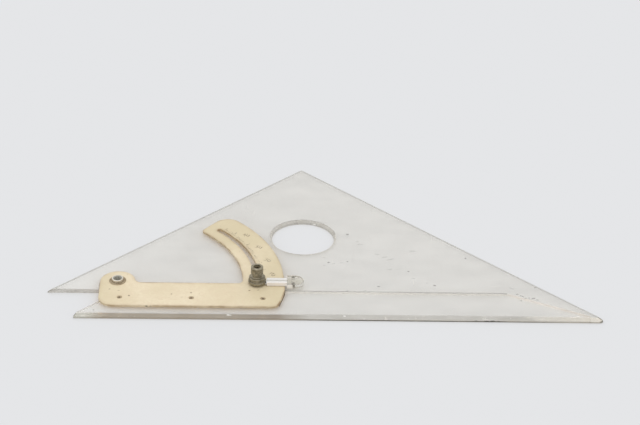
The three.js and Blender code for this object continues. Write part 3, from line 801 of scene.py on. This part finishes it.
def rim_share(here, to_edge, to_slot):
    """How brown the plate is at a point, from how far it lies from the outer edge and from the slot. On the
    slot's walls and the bottom edge this is brown and painted shade, and beside the clamp a painted shadow.
    """
    wall, faint, strong, clamp_shadow = 0.5, 0.16, 0.55, 0.6
    faint_reach, strong_reach, clamp_shadow_reach = 1.2, 0.75, 0.5
    clamp_shadow_from, clamp_shadow_to = -0.25, -0.045
    if here.z < PLATE_TOP - PLATE_ARRIS - 0.01:
        # Painted shade, with some brown, on the slot's walls and along the plate's bottom edge
        return wall if to_slot < to_edge or here.z < PLATE_LOW + 0.1 else 0.0
    nearest = min(to_edge, to_slot)
    share = faint * (nearest < faint_reach) + strong * max(0.0, 1 - nearest / strong_reach)
    # A painted shadow along the outer edge beside the clamp
    beside_clamp = to_edge < clamp_shadow_reach and clamp_shadow_from < bearing(here) < clamp_shadow_to
    return share + clamp_shadow if beside_clamp else share


def scale_plate():
    holes = [plate_levels(slot_outline(), -1)]
    holes.append(bored(*PIVOT, [(PLATE_LOW, PIVOT_BORE), (PLATE_TOP, PIVOT_BORE)], 48))
    step_z = PLATE_TOP - 0.5
    rivet_sizes = [
        (PLATE_LOW, 1.1), (step_z, 1.1), (step_z, 1.45), (PLATE_TOP - 0.2, 1.5), (PLATE_TOP, 1.65)
    ]
    holes += [bored(x, RIVET_Y, rivet_sizes, 32) for x in RIVET_XS]
    outer, slot = plate_outline(), slot_outline()
    mesh = stacked(plate_levels(outer, 1), holes)
    shares = []
    for vertex in mesh.vertices:
        here = local(vertex.co)
        to_edge, to_slot = (min(math.dist(here[:2], p) for p in loop) for loop in (outer, slot))
        shares.append(rim_share(here, to_edge, to_slot))
    rim = mesh.attributes.new("rim", "FLOAT", "POINT")
    rim.data.foreach_set("value", shares)
    smooth(new_object("plate_body", mesh, "base", [CREAM], "scale_plate"))


def graduations():
    """Degree lines beside the slot, and a number at every ten degrees."""
    start, half_width = SLOT_R + SLOT_HALF + 0.9, 0.18
    ten_line, five_line, one_line = 3.4, 2.5, 1.5
    lines = []
    for degree in range(46):
        angle = CLAMP_ANGLE + math.radians(degree)
        length = ten_line if degree % 10 == 0 else five_line if degree % 5 == 0 else one_line
        across = Vector((-math.sin(angle), math.cos(angle)))
        out = Vector((math.cos(angle), math.sin(angle)))
        line = []
        for reach, side in ((0, -1), (length, -1), (length, 1), (0, 1)):
            point = Vector(PIVOT) + out * (start + reach) + across * half_width * side
            line.append((point.x, point.y, PLATE_TOP + INK_LIFT))
        lines.append(line)
    patches("degree_lines", "base", INK, lines)
    number_reach, number_size, number_lag = 88.8, 4.6, 3.6
    for degree in (10, 20, 30, 40):
        text = bpy.data.curves.new(f"number_{degree}", "FONT")
        text.body = str(degree)
        text.size = number_size * MM
        text.align_x, text.align_y = "CENTER", "CENTER"
        text.materials.append(INK)
        obj = bpy.data.objects.new(f"degree_number_{degree}", text)
        bpy.context.scene.collection.objects.link(obj)
        angle = CLAMP_ANGLE + math.radians(degree - number_lag)
        obj.location = at(*swung(number_reach, angle), PLATE_TOP + INK_LIFT)
        obj.rotation_euler = (0, 0, angle - math.pi / 2 + math.radians(45))
        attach(obj, "base")


def rivets():
    """Hollow-headed rivets, each closed on a washer that is sunk in the strip's underside."""
    top, dimple_r = PLATE_TOP, 0.68
    for i, x in enumerate(RIVET_XS, 1):
        profile = [
            (0, 0.3), (1.3, 0.3), (1.35, 0.4), (1.35, 0.7), (0.8, 0.7), (0.8, top - 0.5), (1.3, top - 0.5),
            (1.3, top - 0.14), (1.15, top - 0.02), (0.8, top - 0.04), (0.6, top - 0.2), (0, top - 0.26),
        ]
        mesh = turned(profile, x, RIVET_Y, 40)
        rivet = smooth(new_object(f"rivet_{i}", mesh, "base", [BROWN, SHADED_DIMPLE], f"plate_rivet_{i}"))
        for face in rivet.data.polygons:
            place = local(face.center)
            in_dimple = place.z > STRIP_TOP and math.dist(place.xy, (x, RIVET_Y)) < dimple_r
            # The hollow of each head takes the painted shade
            face.material_index = 1 if in_dimple else 0
        mesh = washer((x, RIVET_Y), inner=1.1, outer=1.9, low=0.7, high=1.1, edge=0.1, steps=40)
        smooth(new_object(f"burr_{i}", mesh, "base", [BROWN], f"rivet_burr_{i}"))


def pivot():
    """A hollow eyelet with a rolled rim, on a washer, and the washer under the triangle."""
    bottom = PLATE_TOP + 0.3
    top = bottom + 1.7
    roll_r, bore_r = 0.42, 2.6
    profile = [
        (2.2, 0.2), (4.15, 0.2), (4.2, 0.25), (4.2, 0.45), (4.15, 0.5), (2.9, 0.5), (2.9, bottom),
        (3.05, bottom), *arc(2.84, top - roll_r, roll_r, 0, math.pi, 12), (2.3, bottom + 0.7),
        (2.25, bottom), (2.2, bottom - 0.9), (2.2, 0.2),
    ]
    mesh = turned(profile, *PIVOT, 80)
    eyelet = smooth(new_object("eyelet", mesh, "base", [EYELET, BORE], "pivot_eyelet"))
    for face in eyelet.data.polygons:
        reach = local(face.center).xy - Vector(PIVOT)
        face.material_index = 1 if reach.length < bore_r else 0
    for name, radius, low, high in (
        ("pivot_top_washer", 4.8, PLATE_TOP, bottom), ("pivot_back_washer", 4.6, 0.5, 0.9)
    ):
        mesh = washer(PIVOT, PIVOT_BORE, radius, low, high, edge=0.12, steps=80)
        smooth(new_object(f"{name}_round", mesh, "base", [WASHER], name))


# Clamp, arm and block


def knurl(teeth, depth, rows):
    """How deep a straight knurl cuts at an angle, on the profile rows that carry it."""

    def tooth(index, angle):
        phase = (angle / math.tau * teeth) % 1
        return depth * (1 - abs(phase * 2 - 1)) * rows.get(index, 0)

    return tooth


def clamp():
    """The stud, its washers and collar, and the knurled nut with its wide flange and narrow cap."""
    shank = [(0, 0.2), (3.1, 0.2), (3.2, 0.3), (3.2, 0.9), (1.2, 0.9), (1.2, 12.6), (1.0, 12.8), (0, 12.8)]
    smooth(new_object("stud", turned(shank, *CLAMP, 48), "swing", [DARK], "clamp_stud"))
    for name, body, node, radius, low, high, edge in (
        ("friction_washer", "swing", "clamp_friction_washer", 4.4, 4.5, 5.0, 0.12),
        ("collar", "swing", "clamp_collar", 5.13, 5.28, 6.9, 0.45),
        ("thrust_washer", "lift", "clamp_thrust_washer", 4.7, 6.95, 7.38, 0.1),
    ):
        mesh = washer(CLAMP, STUD_BORE, radius, low, high, edge)
        smooth(new_object(name, mesh, body, [DARK], node))
    base, flange, cap, top = 7.4, 8.95, 11.3, 15.8
    profile = [
        (STUD_BORE, base), (4.4, base), (4.68, base + 0.2), (4.7, base + 0.3), (4.7, flange - 0.4),
        (4.66, flange - 0.25), (4.4, flange), (2.9, flange), (2.7, flange + 0.2), (2.7, cap - 0.15),
        (2.85, cap), (3.25, cap), (3.5, cap + 0.25), (3.5, cap + 0.5), (3.5, top - 0.75), (3.5, top - 0.45),
        (3.05, top - 0.1), (2.8, top), (2.3, top), (2.05, top - 0.2), (2.0, top - 0.5), (2.0, top - 1.3),
        (STUD_BORE, top - 1.3), (STUD_BORE, base),
    ]
    knurled_rows = {3: 1.0, 4: 1.0, 13: 0.5, 14: 0.5}
    mesh = turned(profile, *CLAMP, 360, knurl(60, 0.17, knurled_rows))
    smooth(new_object("knurled_nut", mesh, "nut", [DARK], "clamp_nut"), 40)


def arm():
    """A bar with rounded edges and a groove along its top, and a tongue to the stud."""
    start_x, back, front, low, high = CLAMP[0] + 5.45, 2.2, -3.0, 4.42, 6.75
    groove_y, groove_depth, edge, taper = -0.59, 0.22, 0.28, 0.15
    section = [
        (front, low), (back, low), *arc(back - edge, high - edge, edge, 0, math.pi / 2, 4),
        (-0.3, high), (-0.44, high - groove_depth), (-0.74, high - groove_depth), (-0.88, high),
        *arc(front + edge, high - edge, edge, math.pi / 2, math.pi, 4),
    ]
    middle = (low + high) / 2
    bm = bmesh.new()
    rings = []
    stations = ((start_x, 0.94), (start_x + taper, 1.0), (ARM_END_X - taper, 1.0), (ARM_END_X, 0.95))
    for x, shrink in stations:
        rings.append([
            bm.verts.new(at(x, CLAMP[1] + across * shrink, middle + (z - middle) * shrink))
            for across, z in section
        ])
    for a, b in zip(rings, rings[1:], strict=False):
        for i in range(len(a)):
            bm.faces.new([a[i - 1], a[i], b[i], b[i - 1]])
    bm.faces.new(rings[0])
    bm.faces.new(rings[-1])
    bmesh.ops.recalc_face_normals(bm, faces=bm.faces)
    looks = [NICKEL, BORE, LIT_NICKEL]
    bar = smooth(new_object("grooved_arm", to_mesh(bm, "arm"), "swing", looks, "index_arm"))
    for face in bar.data.polygons:
        place = local(face.center)
        beside = abs(place.y - CLAMP[1] - groove_y)
        in_groove = beside < 0.27 and high - 0.3 < place.z < high - 0.05
        # Faces that face forward take the painted-light copy of the nickel
        face.material_index = 1 if in_groove else 2 if face.normal.y < -0.7 else 0
    half, low, high = 2.3, 5.02, 5.26
    tongue = [(start_x + 0.2, CLAMP[1] - half), (start_x + 0.2, CLAMP[1] + half)]
    tongue += arc(*CLAMP, half, math.pi / 2, math.pi * 1.5, 24)
    hole = bored(*CLAMP, [(low, STUD_BORE), (high, STUD_BORE)], 32)
    mesh = stacked(soft_levels(tongue, low, high, 0.04), [hole])
    smooth(new_object("arm_tongue", mesh, "swing", [NICKEL]))


def block():
    """The clear D-shaped block with its two pins, frosted in front beside the arm."""
    front_y, back_y, bore = BLOCK_Y - BLOCK_R, BLOCK_Y + BLOCK_R, 1.1
    outline = [(ARM_END_X, back_y), (ARM_END_X, front_y), (FROSTED_X, front_y)]
    outline += arc(BLOCK_END_X - BLOCK_R, BLOCK_Y, BLOCK_R, -math.pi / 2, math.pi / 2, 40)
    pin_ys = [BLOCK_Y + side * PIN_REACH for side in (1, -1)]
    holes = [bored(PIN_X, y, [(BLOCK_LOW, bore), (BLOCK_TOP, bore)], 32) for y in pin_ys]

    def paint(middle, normal):
        return 1 if normal.y < -0.5 and middle.x < FROSTED_X else 0

    mesh = stacked(soft_levels(outline, BLOCK_LOW, BLOCK_TOP, 0.3), holes, paint)
    smooth(new_object("end_block", mesh, "swing", [BLOCK, FROSTED], "arm_block"))
    profile = [(0, 3.4), (0.97, 3.4), (1.0, 3.45), (1.0, BLOCK_TOP - 0.1), (0.9, BLOCK_TOP), (0, BLOCK_TOP)]
    for i, y in enumerate(pin_ys, 1):
        mesh = turned(profile, PIN_X, y, 32)
        smooth(new_object(f"pin_{i}", mesh, "swing", [PIN], f"block_pin_{i}"))


# Marks of use, with painted shadow and shade beside the plate and along the joint

UPWARD, FORWARD, DOWN_BEVEL = Vector((0, 0, 1)), Vector((0, -1, 0)), Vector((0, -1, 1))


def speck(place, long, wide, turn, up):
    """A small uneven spot on a surface, from its half length, half width and the way that it points."""
    rng = random.Random(round(place.x * 1000) + round(place.y * 7000))
    normal = up.normalized()
    side = Vector((math.cos(turn), math.sin(turn), 0))
    side = (side - normal * side.dot(normal)).normalized()
    across = normal.cross(side)
    points = []
    for i in range(9):
        angle = math.tau * i / 9
        reach = rng.uniform(0.65, 1.1)
        point = place + side * (long * reach * math.cos(angle)) + across * (wide * reach * math.sin(angle))
        points.append(point + normal * FILM)
    return points


def spots(name, body, look, rows, up=UPWARD):
    """A piece of specks, from rows of x, y, z, half length, half width and turn in degrees."""
    patches(name, body, look, [
        speck(Vector((x, y, z)), long, wide, math.radians(turn), up) for x, y, z, long, wide, turn in rows
    ])


def level(z, rows):
    """Rows of x, y, half length, half width and turn, set at one height."""
    return [(x, y, z, long, wide, turn) for x, y, long, wide, turn in rows]


def film(name, body, look, top, corners):
    """A piece of one thin polygon that lies on a level surface."""
    patches(name, body, look, [[(x, y, top + FILM) for x, y in corners]])


def marks_on_triangle():
    spots("sheet_flecks", "swing", GREY_DIRT, level(SHEET_TOP, [
        (155.3, 88.3, 1.0, 0.9, -20), (171.4, 31.1, 1.1, 0.5, 0), (203.9, 32.8, 1.1, 0.6, -25),
        (224.9, 62.4, 0.6, 1.0, 0), (143.1, 56.3, 0.9, 0.7, 0), (154.3, 57.6, 0.6, 0.6, 0),
        (189.8, 47.4, 0.8, 0.5, -30), (153.3, 26.2, 0.7, 0.5, 0), (163.6, 26.4, 0.8, 0.3, 0),
        (250.8, 24.4, 1.0, 0.4, -20), (252.5, 22.9, 0.7, 0.4, -60), (253.7, 22.2, 1.1, 0.5, -60),
        (255.3, 20.6, 0.8, 0.4, 20), (257.2, 20.7, 0.6, 0.4, 10), (262.4, 31.8, 1.2, 0.4, 20),
        (259.4, 20.4, 1.4, 0.5, 10), (261.6, 18.9, 0.8, 0.4, -10),
    ]))
    # A line of dust and painted shade on the triangle along its joint with the strip
    joint_line_x, far_x, joint_line_width = PIVOT[0] - 9, OBLIQUE[0] - 1, 1.0
    near, far = JOINT_Y + 0.05, JOINT_Y - JOINT_FALL + 0.05
    corners = [(joint_line_x, near), (far_x, far), (far_x, far + joint_line_width), (joint_line_x, near + joint_line_width)]
    film("joint_dust_and_shade", "swing", JOINT_DUST_AND_SHADE, SHEET_TOP, corners)
    spots("sheet_smears", "swing", SMEAR, level(SHEET_TOP, [
        (162.8, 76.9, 2.4, 1.0, 0), (161.0, 80.2, 1.6, 0.8, 40), (172.5, 65.8, 1.6, 0.8, -20),
        (176.6, 63.0, 2.2, 0.8, 10), (180.0, 60.4, 2.6, 1.0, 20), (178.8, 49.4, 1.8, 1.0, 0),
        (184.0, 49.6, 1.8, 0.5, 20), (140.8, 61.8, 1.4, 0.8, 0), (146.0, 55.0, 1.0, 0.6, 0),
        (194.0, 70.0, 2.4, 1.4, 0), (192.0, 40.0, 1.6, 0.7, 0), (200.0, 35.0, 1.0, 0.6, 0),
        (248.5, 30.5, 2.2, 0.6, -30), (140.5, 53.0, 0.9, 0.6, 0), (151.0, 56.0, 1.6, 0.5, 0),
    ]))
    # A painted shadow on the triangle beside the plate's left edge
    film("plate_edge_painted_shadow", "swing", EDGE_SHADOW_MARK, SHEET_TOP, [
        (EAR_LEFT - 0.2, 25.5), (EAR_LEFT + 0.6, 25.5), (EAR_LEFT + 0.6, 36.5), (EAR_LEFT + 0.1, 36.5),
        (EAR_LEFT - 0.6, 31),
    ])


def marks_on_base():
    bearings = [math.radians(-14 + 9.6 * i / 12) for i in range(13)]
    rim = [swell(swung(PLATE_OUT, angle)) for angle in bearings]
    # A painted shadow on the strip beside the plate's outer edge by the clamp
    film("strip_edge_painted_shadow", "base", BROWN_SHADOW_MARK, STRIP_TOP, [(x + 0.55, y) for x, y in rim] + rim[::-1])
    spots("strip_flecks", "base", GREY_DIRT, level(STRIP_TOP, [
        (150.9, 23.3, 0.7, 0.4, 0), (252.1, 17.4, 0.6, 0.5, 0), (10.7, 3.9, 0.6, 0.5, 0),
    ]))
    spots("plate_specks", "base", BROWN_SPOT, level(PLATE_TOP, [
        (17.6, 23.4, 0.8, 0.5, 0), (22.9, 22.0, 0.7, 0.4, 0), (29.3, 17.0, 0.7, 0.6, 0),
        (53.1, 18.9, 0.6, 0.5, 0), (97.2, 23.3, 0.8, 0.5, 0), (102.3, 24.0, 0.8, 0.5, 10),
        (110.4, 41.7, 0.7, 0.6, 0),
    ]))


def marks_on_edges():
    """Chips and dirt on the bevel, the wall of the finger hole, the land and the plate's front edge."""
    spots("bevel_chips", "base", CHIP, [
        (86.3, 1.1, LAND + 1.1, 1.5, 0.5, 0), (150.8, 1.2, LAND + 1.2, 0.9, 0.4, 0),
    ], DOWN_BEVEL)
    chip_angle = math.radians(67.5)
    outward = Vector((math.cos(chip_angle), math.sin(chip_angle), 0))
    wall = Vector((HOLE_X, HOLE_Y, 0)) + outward * (HOLE_R - HOLE_CHAMFER - 0.02)
    spots("hole_chip", "swing", CHIP, [(wall.x, wall.y, 1.0, 1.3, 0.5, -22)], -outward)
    spots("land_dirt", "base", DARK_DIRT, [
        (224.8, 0, 0.8, 0.8, 0.35, 0), (230.5, 0, 0.7, 1.5, 0.4, 0), (234.2, 0, 0.8, 1.8, 0.45, 0),
        (237.6, 0, 0.6, 1.4, 0.35, 0),
    ], FORWARD)
    spots("plate_edge_chips", "base", DARK_DIRT, [
        (39.9, BAR_Y[0], 3.7, 0.8, 0.4, 0), (42.2, BAR_Y[0], 3.8, 0.6, 0.3, 0),
    ], FORWARD)


# Floor, light and camera


def floor():
    bpy.ops.mesh.primitive_plane_add(size=6, location=(0, 1.0, -0.0001))
    plane = bpy.context.object
    plane.name = "floor"
    look = Look("floor_paper")
    paper = look.add("BsdfDiffuse", Color=rgb(227, 228, 230)).outputs[0]
    plane.data.materials.append(look.done(paper))


def lights():
    world = bpy.data.worlds.new("studio")
    bpy.context.scene.world = world
    world.use_nodes = True
    background = world.node_tree.nodes["Background"]
    background.inputs["Color"].default_value = (1, 1, 1, 1)
    background.inputs["Strength"].default_value = 0.85
    lamp = bpy.data.lights.new("soft_overhead", "SUN")
    lamp.energy = 0.55
    lamp.angle = math.radians(70)
    obj = bpy.data.objects.new("soft_overhead", lamp)
    obj.rotation_euler = (math.radians(14), math.radians(-8), 0)
    bpy.context.scene.collection.objects.link(obj)


def camera():
    """The camera that was fitted to the photograph, whose frame is 640 by 425."""
    eye = (114.378, -684.783, 474.599)
    pitch, yaw, roll = (math.radians(v) for v in (30.5524, 1.7662, 1.5668))
    focal_px, frame_px, sensor = 1487.135, 640, 36.0
    forward = Vector((math.sin(yaw) * math.cos(pitch), math.cos(yaw) * math.cos(pitch), -math.sin(pitch)))
    level_right = Vector((math.cos(yaw), -math.sin(yaw), 0))
    upright = level_right.cross(forward)
    right = math.cos(roll) * level_right + math.sin(roll) * upright
    up = -math.sin(roll) * level_right + math.cos(roll) * upright
    data = bpy.data.cameras.new("camera")
    data.sensor_width = sensor
    data.lens = focal_px / frame_px * sensor
    obj = bpy.data.objects.new("camera", data)
    bpy.context.scene.collection.objects.link(obj)
    turn = Matrix((right, up, -forward)).transposed().to_4x4()
    obj.matrix_world = Matrix.Translation(at(*eye)) @ turn
    bpy.context.scene.camera = obj


camera()
lights()
floor()
clear_sheets()
scale_plate()
graduations()
rivets()
pivot()
clamp()
arm()
block()
marks_on_triangle()
marks_on_base()
marks_on_edges()
bpy.context.scene.view_settings.view_transform = "Standard"
